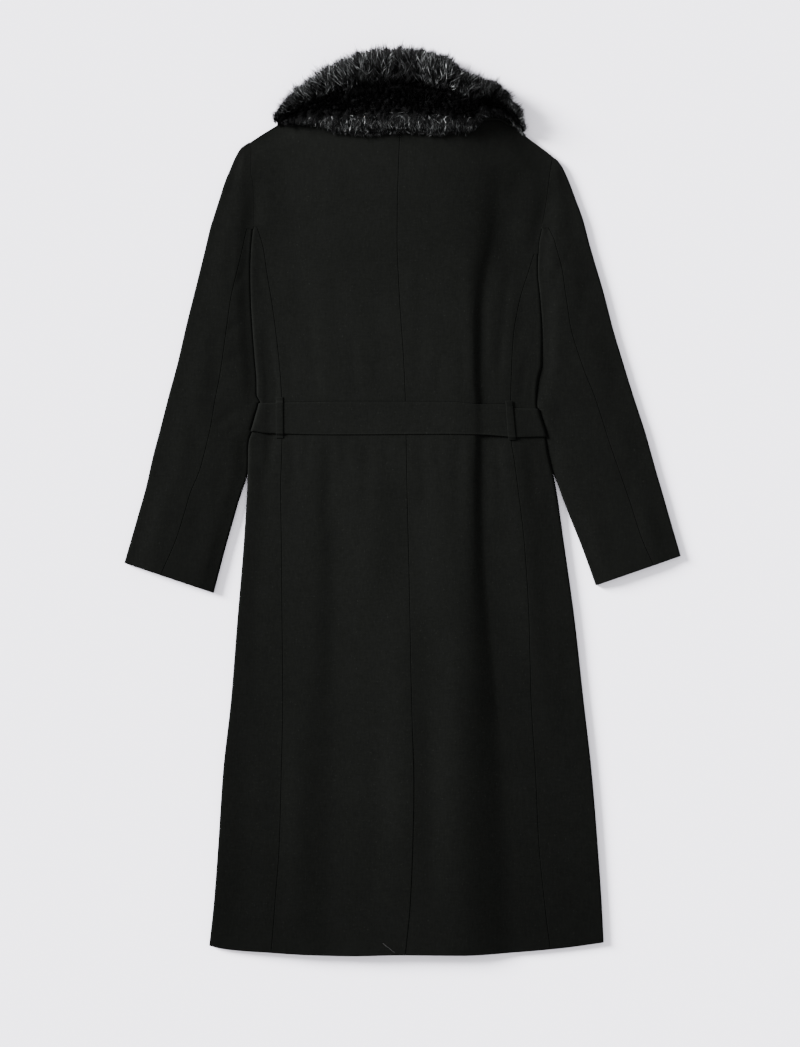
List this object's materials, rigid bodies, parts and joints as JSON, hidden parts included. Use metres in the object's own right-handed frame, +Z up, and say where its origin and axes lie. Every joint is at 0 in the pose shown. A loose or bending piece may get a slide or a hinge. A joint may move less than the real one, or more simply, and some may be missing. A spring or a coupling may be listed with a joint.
{
  "type": "long coat",
  "caption": "Long dark wool coat with a fur collar, princess seams, a cloth belt in loops and a back vent, laid flat face down with its sleeves beside it.",
  "frame": {"origin": "bottom centre of the coat's box, on the surface that it lies on", "axes": "+Z up from the surface, +Y from the hem to the collar, +X towards the wearer's right side"},
  "size_m": [0.7784, 1.2707, 0.041],
  "materials": {
    "wool_cloth": "black wool melton with a short felted nap",
    "fur": "black fur with dark grey tips, in loose tufts"
  },
  "bodies": {
    "root": {"back_left": "wool_cloth", "back_right": "wool_cloth", "side_back_left": "wool_cloth", "side_back_right": "wool_cloth", "front_left": "wool_cloth", "front_right": "wool_cloth", "sleeve_left_top": "wool_cloth", "sleeve_left_under": "wool_cloth", "sleeve_right_top": "wool_cloth", "sleeve_right_under": "wool_cloth", "belt": "wool_cloth", "belt_loop_left": "wool_cloth", "belt_loop_right": "wool_cloth", "under_collar": "wool_cloth", "fur_collar": "fur"}
  },
  "joints": []
}
